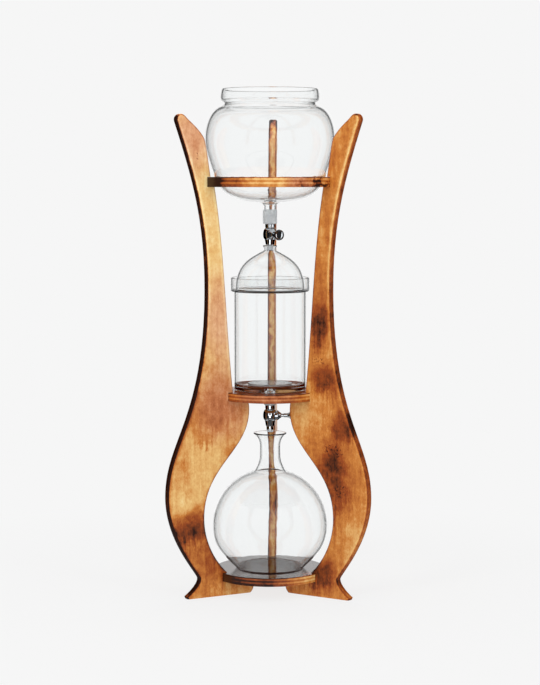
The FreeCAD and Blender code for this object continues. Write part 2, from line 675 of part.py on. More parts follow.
def make_carafe():
    """The carafe: flat foot, round belly, drawn-in neck and flared mouth."""
    body = new_body("carafe")
    turned(body, glass_path([
        Knot("0", BASE_TOP, OUT, wall="carafe_wall"),
        Knot("carafe_flat", BASE_TOP, OUT, leave=0.5, wall="carafe_wall"),
        Knot("carafe_foot_reach", f"{BASE_TOP} + carafe_foot_rise", heading=45, arrive=0.42, leave=0.38,
             wall="carafe_wall"),
        Knot("carafe_reach", f"{BASE_TOP} + carafe_middle", UP, arrive=0.42, leave=0.375,
             wall="carafe_wall"),
        Knot("carafe_shoulder_reach", f"{BASE_TOP} + carafe_shoulder_rise", heading=165, arrive=0.364,
             leave=0.45, wall="carafe_wall"),
        Knot("carafe_neck_foot", f"{BASE_TOP} + carafe_neck_foot_rise", heading=115, arrive=0.45,
             leave=0.25, wall="carafe_wall"),
        Knot("carafe_neck_reach", f"{BASE_TOP} + carafe_neck_rise", UP, arrive=0.4, leave=0.44,
             wall="carafe_wall"),
        rim("carafe_mouth_reach", MOUTH_TOP, heading=38, wall="carafe_wall", arrive=0.42),
    ]))
    place(body)
    return body


def make_filter():
    """A sintered glass disc on a silicone ring, over the cylinder's outlet."""
    floor = f"({MIDDLE_TOP} + cylinder_floor)"
    low = f"({floor} + gasket_height)"
    gasket = new_body("filter_gasket")
    turned(gasket, rounded_board("filter_radius - gasket_width", "filter_radius", floor, low,
                                 "gasket_round"))
    disc = new_body("filter_disc")
    turned(disc, rounded_board(0, "filter_radius", low, f"({low} + filter_board)", "filter_round"))
    place(gasket)
    place(disc)
    return [gasket, disc]


def make_sleeve(label, tube, grip, height):
    """Silicone sleeve between a vessel's outlet tube and the spigot of its valve."""
    body = new_body(label)
    inner = f"{tube} + joint_play"
    spigot = "spigot_radius + joint_play"
    outer = f"({tube} + sleeve_wall)"
    shoulder = "(valve_top + sleeve_neck)"
    top = f"({shoulder} + seat_gap + {grip})"
    turned(body, [(spigot, "valve_top"), (f"{outer} - sleeve_chamfer", "valve_top"),
                  (outer, "valve_top + sleeve_chamfer"), (outer, f"{top} - sleeve_taper"),
                  ((outer, f"{top} - sleeve_taper * {FREE_ROUND}"), (f"{outer} - sleeve_chamfer", top),
                   (f"{inner} + sleeve_lip", top)),
                  (inner, top), (inner, shoulder), (spigot, shoulder)])
    place(body, height)
    return body


def make_valve_body(name):
    """Body of a drip valve: spigot, collar, round middle, lower cone and a boss for the nut."""
    body = new_body(name + "_valve_body")
    top = "valve_top + spigot_length"
    turned(body, curved([
        Knot("0", "-cone_depth"),
        Knot("cone_radius", "-cone_depth"),
        Knot("cone_top_radius", "-cone_top", heading=35, leave=0.28),
        Knot("bulb_radius", "0", UP, arrive=0.46, leave=0.47),
        Knot("collar_radius", "bulb_half", heading=144, arrive=0.21),
        Knot("collar_radius - collar_groove", "bulb_half + metal_chamfer"),
        Knot("collar_radius", "bulb_half + metal_chamfer * 2"),
        Knot("collar_radius", "valve_top - metal_chamfer"),
        Knot("collar_radius - metal_chamfer", "valve_top"),
        Knot("spigot_radius", "valve_top"),
        Knot("spigot_radius", f"{top} - metal_chamfer"),
        Knot("spigot_radius - metal_chamfer", top),
        Knot("0", top),
    ]))
    turned(body, rectangle(0, "nut_face", 0, "nut_radius - metal_chamfer"), axis=LEVEL)
    bored(body, rectangle(0, "flow_radius", "-cone_depth", f"{top} + {OVERCUT}"))
    bored(body, rectangle(0, "tip_thread + joint_play", f"-cone_depth - {OVERCUT}",
                          "-cone_depth + tip_thread_length + end_play"))
    back, face, step = "-plug_back - seat_gap", f"nut_face + {OVERCUT}", "plug_front + nut_gap"
    bore, thread = "plug_radius + plug_fit", "nut_thread + joint_play"
    bored(body, [(back, 0), (face, 0), (face, thread), (step, thread), (step, bore), (back, bore)],
          axis=LEVEL)
    return body


def make_gland_nut(name):
    """Nut that keeps the plug in the valve body."""
    nut = new_body(name + "_gland_nut")
    hole = "stem_radius + plug_fit"
    turned(nut, curved([
        Knot("plug_front + nut_gap", hole),
        Knot("plug_front + nut_gap", "nut_thread"),
        Knot("nut_face", "nut_thread"),
        Knot("nut_face", "nut_radius - metal_chamfer"),
        Knot("nut_face + metal_chamfer", "nut_radius"),
        Knot("nut_face + nut_rim", "nut_radius", heading=325, leave=0.3),
        Knot("nut_end", "nut_end_radius", heading=349, arrive=0.38),
        Knot("nut_end", hole),
    ]), axis=LEVEL)
    return nut


def make_drip_tip(name):
    """Screwed-in tip that the drops fall from."""
    tip = new_body(name + "_drip_tip")
    thread_end = "-cone_depth + tip_thread_length"
    turned(tip, [("drip_radius", "-valve_foot"), ("tip_end_radius - metal_chamfer", "-valve_foot"),
                 ("tip_end_radius", "-valve_foot + metal_chamfer"),
                 ("tip_top_radius", "-cone_depth - metal_chamfer"),
                 ("tip_top_radius - metal_chamfer", "-cone_depth"), ("tip_thread", "-cone_depth"),
                 ("tip_thread", thread_end), ("drip_radius", thread_end)])
    return tip


def make_plug(name):
    """Turning plug with a cross port, two grooves for its rubber rings and a stem."""
    plug = new_body(name + "_valve_plug")
    groove = "plug_radius + plug_fit - seal_gap - seal_section * 2 - seal_room"
    outline = [("-plug_back", 0), ("stem_end", 0), ("stem_end", "stem_radius"),
               ("plug_front", "stem_radius"), ("plug_front", "plug_radius")]
    for side in ("seal_place", "-seal_place"):
        near, far = f"{side} + seal_section + seal_room", f"{side} - seal_section - seal_room"
        outline += [(near, "plug_radius"), (near, groove), (far, groove), (far, "plug_radius")]
    turned(plug, outline + [("-plug_back", "plug_radius")], axis=LEVEL)
    before = plug.Shape.Volume
    port = plug.newObject("PartDesign::Pocket", plug.Name + "_port")
    port.Profile = new_sketch(plug, ring_section("0", "0", "drip_radius"))
    port.Type = "ThroughAll"
    port.SideType = "Symmetric"
    doc.recompute()
    cut_check(plug, before)
    return plug


def make_seals(name):
    """The plug's two rubber rings."""
    seals = new_body(name + "_valve_seals")
    middle = "plug_radius + plug_fit - seal_gap - seal_section"
    turned(seals, ring_section("seal_place", middle, "seal_section"),
           ring_section("-seal_place", middle, "seal_section"), axis=LEVEL)
    return seals


def make_knob(name):
    """Trumpet-shaped knob, fast on the plug's stem."""
    knob = new_body(name + "_valve_knob")
    bore = "stem_radius + joint_play"
    turned(knob, curved([
        Knot("knob_start", bore),
        Knot("knob_start", "knob_waist - metal_chamfer / 2"),
        Knot("knob_start + metal_chamfer", "knob_waist"),
        Knot("knob_flare", "knob_waist", heading=6, leave=0.34),
        Knot("knob_end - knob_rim", "knob_radius", heading=49, arrive=0.38),
        Knot("knob_end - metal_chamfer", "knob_radius"),
        Knot("knob_end", "knob_radius - metal_chamfer"),
        Knot("knob_end", "knob_radius - knob_face_rim", heading=219, leave=0.16),
        Knot("knob_end - knob_dish", "0", DOWN, arrive=0.42),
        Knot("stem_end + joint_play", "0"),
        Knot("stem_end + joint_play", bore),
    ]), axis=LEVEL)
    return knob


def make_valve(name, height, turn):
    """A drip valve. Its origin is where the knob's axis crosses the flow, and the knob points
    along its X."""
    makers = (make_valve_body, make_gland_nut, make_drip_tip, make_plug, make_seals, make_knob)
    valve = [make(name) for make in makers]
    for piece in valve:
        place(piece, height, turn)
    return valve


pieces = [make_leg(name, REAR + number * FULL_TURN / LEGS) for number, name in enumerate(LEG_NAMES)]
pieces.append(make_shelf("upper_ring_shelf", "globe_seat_reach + seat_gap", "ring_reach",
                         "ring_underside", "ring_board"))
pieces.append(make_shelf("middle_shelf", "middle_hole", "middle_reach", "middle_underside", "middle_board"))
pieces.append(make_base_disc())
pieces.append(make_dowels("ring_shelf_dowels", "ring_reach", "ring_underside", "ring_board"))
pieces.append(make_dowels("middle_shelf_dowels", "middle_reach", "middle_underside", "middle_board"))
pieces.append(make_base_screws())
pieces.append(make_globe())
pieces.append(make_sleeve("upper_coupling_sleeve", "globe_outlet", "upper_grip", UPPER_VALVE))
pieces += make_valve("upper", UPPER_VALVE, "upper_knob_turn")
pieces.append(make_dome())
pieces.append(make_cylinder())
pieces += make_filter()
pieces.append(make_sleeve("lower_coupling_sleeve", "brewer_outlet", "lower_grip", LOWER_VALVE))
pieces += make_valve("lower", LOWER_VALVE, "lower_knob_turn")
pieces.append(make_carafe())
doc.recompute()

for item in doc.Objects:
    if "Invalid" in item.State or "Error" in item.State:
        raise RuntimeError(f"{item.Label} failed: {item.State}")
for piece in pieces:
    if piece.Shape.isNull() or not piece.Shape.isValid():
        raise RuntimeError(f"{piece.Label} has no sound shape")

os.makedirs("parts", exist_ok=True)
for piece in pieces:
    piece.Shape.exportStep(f"parts/{piece.Label}.step")
    print(f"{piece.Label}: {len(piece.Shape.Solids)} solid(s), {piece.Shape.Volume / 1000:.2f} cm3")
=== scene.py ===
"""Looks of a cold drip coffee tower: flame-toned boards, blown glass, chromed drip valves.

Sizes are in metres unless a name says otherwise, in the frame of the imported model: +Z up, the
front towards -Y, the floor at z 0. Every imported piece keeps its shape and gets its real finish.
"""
from __future__ import annotations

import json
import logging
import math
from dataclasses import dataclass, field
from enum import Enum

import bpy
import numpy as np
from mathutils import Euler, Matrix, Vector

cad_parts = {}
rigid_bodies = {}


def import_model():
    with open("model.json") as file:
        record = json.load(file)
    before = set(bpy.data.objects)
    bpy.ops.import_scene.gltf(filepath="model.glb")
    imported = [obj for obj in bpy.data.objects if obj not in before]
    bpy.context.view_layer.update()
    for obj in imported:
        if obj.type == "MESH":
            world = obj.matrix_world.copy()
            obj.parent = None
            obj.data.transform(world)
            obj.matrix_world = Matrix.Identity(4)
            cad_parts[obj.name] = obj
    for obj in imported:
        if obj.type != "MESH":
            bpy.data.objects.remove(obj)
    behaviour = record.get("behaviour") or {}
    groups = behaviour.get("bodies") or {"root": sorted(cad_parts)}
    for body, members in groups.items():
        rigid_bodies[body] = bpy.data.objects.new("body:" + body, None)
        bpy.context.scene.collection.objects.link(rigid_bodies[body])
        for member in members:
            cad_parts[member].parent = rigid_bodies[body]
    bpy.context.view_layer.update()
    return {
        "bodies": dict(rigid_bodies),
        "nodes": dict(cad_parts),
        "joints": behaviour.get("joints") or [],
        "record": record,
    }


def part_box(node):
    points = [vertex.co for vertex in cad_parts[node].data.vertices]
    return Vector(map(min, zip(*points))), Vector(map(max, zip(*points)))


LOG = logging.getLogger("cold_drip_tower")
MM = 0.001
MIDDLE = (0.5, 0.5, 0.5)
BACKGROUND = "#F6F6F6"
TONE_STEPS = (0.0, 0.25, 0.5, 0.75, 1.0)


def linear(code: str) -> tuple[float, float, float, float]:
    """Turn an sRGB hex colour into linear light.

    Args:
        code: The colour, such as "#C98A4B".

    Returns:
        Red, green, blue and an alpha of 1.
    """
    shares = [int(code[place:place + 2], 16) / 255 for place in (1, 3, 5)]
    light = [share / 12.92 if share <= 0.04045 else ((share + 0.055) / 1.055) ** 2.4 for share in shares]
    return (light[0], light[1], light[2], 1.0)


def per_mm(size_mm: float) -> float:
    """Scale of a pattern whose features are this many millimetres wide."""
    return 1 / (size_mm * MM)


def add(tree: bpy.types.NodeTree, kind: str, feeds: dict | None = None, stops: tuple = (),
        bends: tuple = (), **settings: object) -> bpy.types.Node:
    """Add a node with its settings, constants and links.

    Args:
        tree: The node tree that gets the node.
        kind: The node's type, without its ShaderNode prefix.
        feeds: For a socket's name or place, a constant, a socket, or a node whose first live
            output is meant.
        stops: Places and hex colours of a colour ramp.
        bends: Places and heights of a float curve.
        settings: The node's own properties.

    Returns:
        The new node.
    """
    node = tree.nodes.new("ShaderNode" + kind)
    for name, setting in settings.items():
        setattr(node, name, setting)
    for place, (position, code) in enumerate(stops):
        ramp = node.color_ramp.elements
        stop = ramp[place] if place < len(ramp) else ramp.new(position)
        stop.position = position
        stop.color = linear(code)
    for place, (position, height) in enumerate(bends):
        points = node.mapping.curves[0].points
        bend = points[place] if place < len(points) else points.new(position, height)
        bend.location = (position, height)
    for key, feed in (feeds or {}).items():
        socket = node.inputs[key] if isinstance(key, int) else next(
            found for found in node.inputs if found.name == key and found.enabled)
        if isinstance(feed, bpy.types.Node):
            feed = next(found for found in feed.outputs if found.enabled)
        if isinstance(feed, bpy.types.NodeSocket):
            tree.links.new(feed, socket)
        else:
            socket.default_value = feed
    return node


class Tone(Enum):
    """Colours of varnished board, each from bare over flamed to charred."""

    HONEY = ("#F4DDA2", "#E6B972", "#C97C30", "#9A450B", "#2E0F02")
    ROSE = ("#F0D3AC", "#DDA67C", "#BE7445", "#8F431A", "#2A0F05")


@dataclass(frozen=True)
class Patch:
    """A soft spot on a board where the flame stayed longer, or was kept away.

    In a rosy or a crackled list, the heat is how strongly the spot shows instead. A few patches
    are painted shade or a painted highlight rather than flame marks.

    Args:
        heat: How much further the board is burnt at the middle, below zero where it is paler;
        for a patch of painted shade or painted highlight, how much darker or paler it is painted.
        centre: Its middle in millimetres, in the board's own directions.
        reach: Its half sizes in millimetres along those directions.
    """

    heat: float
    centre: tuple[float, float, float]
    reach: tuple[float, float, float]


@dataclass(frozen=True)
class Finish:
    """A real-world finish. Each kind fills the shader in its own way."""

    title: str

    def material(self) -> bpy.types.Material:
        """Make the material.

        Returns:
            The material, with its shader joined to its output.
        """
        made = bpy.data.materials.new(self.title)
        made.use_nodes = True
        tree = made.node_tree
        tree.nodes.clear()
        shader = self.shader(tree)
        add(tree, "OutputMaterial", {"Surface": shader})
        return made

    def shader(self, tree: bpy.types.NodeTree) -> bpy.types.Node:
        """Make the finish's shader.

        Args:
            tree: The material's node tree.

        Returns:
            The shader node.
        """
        raise NotImplementedError


@dataclass(frozen=True)
class FlamedWood(Finish):
    """Softwood board, toned with a flame, brushed and varnished.

    One value runs through the whole finish: the heat, from 0 for bare board to 1 for char. It is
    the sum of the board's own warmth, its patches, streaks along the grain, mottling, the narrow
    faces and burnt arrises, and it picks the colour from the tones. Part of it is painted light:
    on the outer narrow face turned from the light it is partly painted shade, where a band's heat
    is below zero the paler band is a painted highlight, and a few patches are painted shade or a
    painted highlight. The bands beside the outer and the inner arrises are given as heights in
    millimetres and their heats. Names in _heat say how far a pattern swings the heat, names in
    _at say at which shares of a normal a blend begins and ends, and names in _mm are the sizes of
    what is drawn. A softwood's fibres are too fine to show, so they are drawn about a millimetre
    wide.
    """

    axis: tuple[float, float] = (0.0, 0.0)
    heading: float = 0.0
    warmth: float = 0.35
    patches: tuple[Patch, ...] = ()
    rosy: tuple[Patch, ...] = ()
    crackled: tuple[Patch, ...] = ()
    # bands beside the arrises: heat by height; below zero a painted highlight
    outer_band_heat_and_highlight: tuple[tuple[float, float], ...] = ((0.0, 0.0), (950.0, 0.0))
    inner_band_heat_and_highlight: tuple[tuple[float, float], ...] = ((0.0, 0.0), (950.0, 0.0))
    # narrow faces' heat: scorch, and on the outer face turned from the light also painted shade
    outer_face_scorch_and_shade: float = 0.3
    inner_face: float = 0.1
    arris: float = 0.25
    streak_mm: float = 6.0
    streak_heat: float = 0.10
    along: float = 0.06
    mottle_mm: float = 16.0
    mottle_heat: float = 0.14
    fibre_mm: float = 1.2
    fibre_heat: float = 0.09
    fibre_along: float = 0.3
    wander_mm: float = 26.0
    streak_sway: tuple[float, float, float] = (0.01, 0.01, 0.002)
    patch_sway: tuple[float, float, float] = (0.03, 0.03, 0.05)
    patch_tearing: float = 0.09
    crack_cell_mm: float = 7.0
    crack_gap_mm: float = 4.0
    crack_heat: float = 1.6
    band_mm: float = 11.0
    top_mm: float = 950.0
    narrow_at: tuple[float, float] = (0.75, 0.35)
    facing_at: tuple[float, float] = (0.3, 0.8)
    leaning_at: tuple[float, float] = (0.02, 0.3)
    worn_at: tuple[float, float] = (0.98, 0.75)
    varnish: float = 0.2
    gloss: tuple[float, float] = (0.34, 0.55)
    relief_mm: float = 0.6

    def local(self, tree: bpy.types.NodeTree) -> bpy.types.Node:
        """Coordinates of the board: x outward, y through its thickness, z up, from the tower's axis.

        Args:
            tree: The node tree that gets the nodes.

        Returns:
            The node whose output is the place.
        """
        coordinates = add(tree, "TexCoord")
        turn = Euler((0, 0, -self.heading)).to_matrix()
        shift = -(turn @ Vector((*self.axis, 0)))
        return add(tree, "Mapping", {"Vector": coordinates.outputs["Object"], "Location": shift,
                                     "Rotation": (0, 0, -self.heading)})

    def spots(self, tree: bpy.types.NodeTree, shaken: bpy.types.Node, patches: tuple[Patch, ...]
              ) -> bpy.types.Node:
        """Add up patches, each a ball of falling strength, stretched to its half sizes.

        Args:
            tree: The node tree that gets the nodes.
            shaken: The place on the board, shaken where the patches have uneven edges.
            patches: The patches.

        Returns:
            The node whose output is their sum.
        """
        total = add(tree, "Value")
        for patch in patches:
            scale = [per_mm(size) for size in patch.reach]
            shift = [-place * MM * size for place, size in zip(patch.centre, scale)]
            spot = add(tree, "Mapping", {"Vector": shaken, "Location": shift, "Scale": scale})
            ball = add(tree, "TexGradient", {"Vector": spot}, gradient_type="SPHERICAL")
            share = add(tree, "MapRange", {"Value": ball, "From Max": 0.8, "To Max": patch.heat},
                        interpolation_type="SMOOTHSTEP")
            total = add(tree, "Math", {0: total, 1: share}, operation="ADD")
        return total

    def wave(self, tree: bpy.types.NodeTree, place: bpy.types.Node, size_mm: float, heat: float,
             detail: float = 4.0, roughness: float = 0.6) -> bpy.types.Node:
        """Noise with features of a size, as a heat that swings to both sides of zero.

        Args:
            tree: The node tree that gets the nodes.
            place: Where the noise is read.
            size_mm: Width of its features.
            heat: How far it swings.
            detail: How many finer layers it has.
            roughness: How strong those layers are.

        Returns:
            The node whose output is the heat.
        """
        noise = add(tree, "TexNoise", {"Vector": place, "Scale": per_mm(size_mm), "Detail": detail,
                                       "Roughness": roughness})
        return add(tree, "MapRange", {"Value": noise, "From Min": 0.25, "From Max": 0.75, "To Min": -heat,
                                      "To Max": heat})

    def shader(self, tree: bpy.types.NodeTree) -> bpy.types.Node:
        """Make the wood's shader: heat, colour from the heat, fibres and varnish.

        Args:
            tree: The material's node tree.

        Returns:
            The shader node.
        """
        local = self.local(tree)
        wander = add(tree, "TexNoise", {"Vector": local, "Scale": per_mm(self.wander_mm), "Detail": 5.0,
                                        "Roughness": 0.65})
        centred = add(tree, "VectorMath", {0: wander.outputs["Color"], 1: MIDDLE}, operation="SUBTRACT")
        slow = add(tree, "Mapping", {"Vector": local, "Scale": (1, 1, self.along)})
        bent = add(tree, "VectorMath", {0: centred, 1: self.streak_sway, 2: slow}, operation="MULTIPLY_ADD")
        streaks = self.wave(tree, bent, self.streak_mm, self.streak_heat)
        torn = add(tree, "CombineXYZ", {"Z": streaks})
        shaken = add(tree, "VectorMath", {0: centred, 1: self.patch_sway, 2: local}, operation="MULTIPLY_ADD")
        shaken = add(tree, "VectorMath", {0: torn, 1: (0.0, 0.0, self.patch_tearing), 2: shaken},
                     operation="MULTIPLY_ADD")
        short = add(tree, "Mapping", {"Vector": local, "Scale": (1, 1, self.fibre_along)})
        fibres = self.wave(tree, short, self.fibre_mm, self.fibre_heat, 3.0, 0.7)
        heats = [streaks, fibres, self.wave(tree, local, self.mottle_mm, self.mottle_heat, 5.0, 0.65),
                 self.spots(tree, shaken, self.patches), self.arrises(tree, local)]
        heat = add(tree, "Value")
        heat.outputs[0].default_value = self.warmth
        for more in heats:
            heat = add(tree, "Math", {0: heat, 1: more}, operation="ADD")
        cracks = self.cracks(tree, local)
        heat = add(tree, "Math", {0: heat, 1: cracks}, operation="ADD", use_clamp=True)
        colours = [add(tree, "ValToRGB", {"Fac": heat}, stops=tuple(zip(TONE_STEPS, tone.value)))
                   for tone in (Tone.HONEY, Tone.ROSE)]
        rosy = self.spots(tree, shaken, self.rosy)
        rose = add(tree, "Math", {0: rosy, 1: 0.0}, operation="ADD", use_clamp=True)
        colour = add(tree, "Mix", {"Factor": rose, "A": colours[0], "B": colours[1]}, data_type="RGBA")
        gloss = add(tree, "MapRange", {"Value": heat, "To Min": self.gloss[0], "To Max": self.gloss[1]})
        relief = add(tree, "Math", {0: fibres, 1: cracks}, operation="SUBTRACT")
        bump = add(tree, "Bump", {"Strength": 0.4, "Distance": self.relief_mm * MM, "Height": relief})
        return add(tree, "BsdfPrincipled", {"Base Color": colour, "Roughness": gloss, "IOR": 1.45,
                                            "Coat Weight": self.varnish, "Coat Roughness": 0.12,
                                            "Normal": bump})

    def cracks(self, tree: bpy.types.NodeTree, local: bpy.types.Node) -> bpy.types.Node:
        """Short dark cracks in the resin, as extra heat within their patches.

        Args:
            tree: The node tree that gets the nodes.
            local: The place on the board.

        Returns:
            The node whose output is the heat.
        """
        mask = self.spots(tree, local, self.crackled)
        cells = add(tree, "TexVoronoi", {"Vector": local, "Scale": per_mm(self.crack_cell_mm)},
                    feature="DISTANCE_TO_EDGE")
        thin = add(tree, "MapRange", {"Value": cells.outputs["Distance"], "From Min": 0.12, "From Max": 0.02})
        broken = self.wave(tree, local, self.crack_gap_mm, self.crack_heat)
        seen = add(tree, "Math", {0: thin, 1: broken}, operation="MULTIPLY", use_clamp=True)
        return add(tree, "Math", {0: seen, 1: mask}, operation="MULTIPLY")

    def arrises(self, tree: bpy.types.NodeTree, local: bpy.types.Node) -> bpy.types.Node:
        """Extra heat of the narrow faces, of the arrises and of the bands beside them.

        The part of the normal that points outward tells the outer narrow face from the inner one,
        and the part across the board falls off over the rounded arris. A normal averaged over
        some millimetres leans over beside an arris, which gives the band. The band's heat
        follows the height; where it is below zero, the paler band is a painted highlight. The
        outer narrow face's heat is scorch, and on a face turned from the light painted shade.

        Args:
            tree: The node tree that gets the nodes.
            local: The place on the board.

        Returns:
            The node whose output is the heat.
        """
        coordinates = add(tree, "TexCoord")
        out = (math.cos(self.heading), math.sin(self.heading), 0.0)
        across = (-out[1], out[0], 0.0)
        facing = add(tree, "VectorMath", {0: coordinates.outputs["Normal"], 1: out}, operation="DOT_PRODUCT")
        side = add(tree, "VectorMath", {0: coordinates.outputs["Normal"], 1: across}, operation="DOT_PRODUCT")
        flat = add(tree, "Math", {0: side.outputs["Value"]}, operation="ABSOLUTE")
        narrow = add(tree, "MapRange", {"Value": flat, "From Min": self.narrow_at[0],
                                        "From Max": self.narrow_at[1]})
        height = add(tree, "SeparateXYZ", {"Vector": local})
        level = add(tree, "Math", {0: height.outputs["Z"], 1: per_mm(self.top_mm)}, operation="MULTIPLY")
        soft = add(tree, "Bevel", {"Radius": self.band_mm * MM}, samples=8)
        leaning = add(tree, "VectorMath", {0: soft, 1: out}, operation="DOT_PRODUCT")
        total = add(tree, "Value")
        sides = ((1, self.outer_band_heat_and_highlight, self.outer_face_scorch_and_shade), (-1, self.inner_band_heat_and_highlight, self.inner_face))
        for sign, band, face in sides:
            bends = tuple((height_mm / self.top_mm, 0.5 + heat / 2) for height_mm, heat in band)
            # band heat by height: above zero darker, below zero a painted highlight
            curve = add(tree, "FloatCurve", {"Value": level}, bends=bends)
            strength = add(tree, "Math", {0: curve, 1: 2.0, 2: -1.0}, operation="MULTIPLY_ADD")
            near = add(tree, "MapRange", {"Value": leaning.outputs["Value"],
                                          "From Min": sign * self.leaning_at[0],
                                          "From Max": sign * self.leaning_at[1]})
            near = add(tree, "Math", {0: near, 1: narrow}, operation="SUBTRACT", use_clamp=True)
            total = add(tree, "Math", {0: near, 1: strength, 2: total}, operation="MULTIPLY_ADD")
            # narrow face heat: scorch, and on a face turned from the light painted shade
            turned = add(tree, "MapRange", {"Value": facing.outputs["Value"],
                                            "From Min": sign * self.facing_at[0],
                                            "From Max": sign * self.facing_at[1], "To Max": face})
            total = add(tree, "Math", {0: total, 1: turned}, operation="ADD")
        worn = add(tree, "MapRange", {"Value": flat, "From Min": self.worn_at[0],
                                      "From Max": self.worn_at[1]})
        spared = add(tree, "Math", {0: worn, 1: narrow}, operation="SUBTRACT", use_clamp=True)
        return add(tree, "Math", {0: spared, 1: self.arris, 2: total}, operation="MULTIPLY_ADD")


@dataclass(frozen=True)
class FlamedPlywood(FlamedWood):
    """The same flamed and varnished look on plywood, with the plies in lines round the rim.

    Args:
        underside: Height of the board's lower face.
        thickness: Thickness of the board.
        plies: How many plies show on the rim.
        ply_heat: How much darker every other ply is.
        soot_and_shade: How much darker the rim's two corners are, as scorch and as painted shade.
        top: How much darker the top is.
        corner_at: Where the rim's corners begin and end, in shares of the thickness from its middle.
        rim_at: Where the rim begins and ends, in shares of the normal that point up or down.
        top_at: Where the top begins and ends, in shares of the normal that point up.
    """

    underside: float = 0.0
    thickness: float = 0.016
    plies: int = 5
    ply_heat: float = 0.22
    soot_and_shade: float = 0.5
    top: float = 0.0
    streak_mm: float = 9.0
    along: float = 1.0
    corner_at: tuple[float, float] = (0.40, 0.48)
    rim_at: tuple[float, float] = (0.95, 0.5)
    top_at: tuple[float, float] = (0.7, 0.95)

    def arrises(self, tree: bpy.types.NodeTree, local: bpy.types.Node) -> bpy.types.Node:
        """Extra heat of every other ply on the rim, of the rim's two corners and of the top.

        The height in the board, counted in plies, goes through a wave that is hot for every
        other ply. The corners are where that height is near its ends; their darkness is scorch
        and painted shade.

        Args:
            tree: The node tree that gets the nodes.
            local: The place on the board.

        Returns:
            The node whose output is the heat.
        """
        coordinates = add(tree, "TexCoord")
        up = add(tree, "SeparateXYZ", {"Vector": coordinates.outputs["Normal"]})
        height = add(tree, "SeparateXYZ", {"Vector": local})
        level = add(tree, "MapRange", {"Value": height.outputs["Z"], "From Min": self.underside,
                                       "From Max": self.underside + self.thickness, "To Max": self.plies},
                    clamp=False)
        wave = add(tree, "Math", {0: level, 1: 1.0}, operation="PINGPONG")
        line = add(tree, "MapRange", {"Value": wave, "From Min": 0.3, "From Max": 0.7,
                                      "To Max": self.ply_heat})
        middle = add(tree, "Math", {0: level, 1: self.plies / 2}, operation="SUBTRACT")
        away = add(tree, "Math", {0: middle}, operation="ABSOLUTE")
        # the rim's two corners: scorched arrises, darkened further as painted shade
        corner = add(tree, "MapRange", {"Value": away, "From Min": self.plies * self.corner_at[0],
                                        "From Max": self.plies * self.corner_at[1], "To Max": self.soot_and_shade})
        both = add(tree, "Math", {0: line, 1: corner}, operation="ADD")
        steep = add(tree, "Math", {0: up.outputs["Z"]}, operation="ABSOLUTE")
        rim = add(tree, "MapRange", {"Value": steep, "From Min": self.rim_at[0], "From Max": self.rim_at[1]})
        upward = add(tree, "MapRange", {"Value": up.outputs["Z"], "From Min": self.top_at[0],
                                        "From Max": self.top_at[1], "To Max": self.top})
        return add(tree, "Math", {0: both, 1: rim, 2: upward}, operation="MULTIPLY_ADD")


@dataclass(frozen=True)
class BorosilicateGlass(Finish):
    """Blown and fire-polished borosilicate: clear walls whose rims and turned edges read grey."""

    tint: str = "#FBFCFC"

    def shader(self, tree: bpy.types.NodeTree) -> bpy.types.Node:
        """Make the glass's shader.

        Args:
            tree: The material's node tree.

        Returns:
            The shader node.
        """
        return add(tree, "BsdfPrincipled", {"Base Color": linear(self.tint), "Roughness": 0.0, "IOR": 1.47,
                                            "Transmission Weight": 1.0})


@dataclass(frozen=True)
class SinteredGlass(Finish):
    """Glass grains melted together into a filter: white, porous and translucent.

    The grains scatter light within the disc, so it bends light less than solid glass does.
    """

    grain: str = "#FAFBFB"
    pore: str = "#E6E9EA"
    grain_mm: float = 0.7
    relief_mm: float = 0.2

    def shader(self, tree: bpy.types.NodeTree) -> bpy.types.Node:
        """Make the filter's shader from the grains' cells.

        Args:
            tree: The material's node tree.

        Returns:
            The shader node.
        """
        coordinates = add(tree, "TexCoord")
        grains = add(tree, "TexVoronoi", {"Vector": coordinates.outputs["Object"],
                                          "Scale": per_mm(self.grain_mm)})
        tone = add(tree, "ValToRGB", {"Fac": grains}, stops=((0.2, self.grain), (0.7, self.pore)))
        bump = add(tree, "Bump", {"Strength": 0.3, "Distance": self.relief_mm * MM, "Height": grains})
        return add(tree, "BsdfPrincipled", {"Base Color": tone, "Roughness": 0.1, "IOR": 1.15,
                                            "Transmission Weight": 0.95, "Normal": bump})


@dataclass(frozen=True)
class Silicone(Finish):
    """Moulded clear silicone: milky, soft and a little blue."""

    body: str = "#F6F9FA"
    cloud: str = "#E3E8EC"
    cloud_mm: float = 4.0
    relief_mm: float = 0.1

    def shader(self, tree: bpy.types.NodeTree) -> bpy.types.Node:
        """Make the silicone's shader, faintly cloudy.

        Args:
            tree: The material's node tree.

        Returns:
            The shader node.
        """
        coordinates = add(tree, "TexCoord")
        cloud = add(tree, "TexNoise", {"Vector": coordinates.outputs["Object"],
                                       "Scale": per_mm(self.cloud_mm), "Detail": 3.0})
        tone = add(tree, "ValToRGB", {"Fac": cloud}, stops=((0.3, self.cloud), (0.7, self.body)))
        bump = add(tree, "Bump", {"Strength": 0.2, "Distance": self.relief_mm * MM, "Height": cloud})
        return add(tree, "BsdfPrincipled", {"Base Color": tone, "Roughness": 0.16, "IOR": 1.41,
                                            "Transmission Weight": 0.6, "Normal": bump})


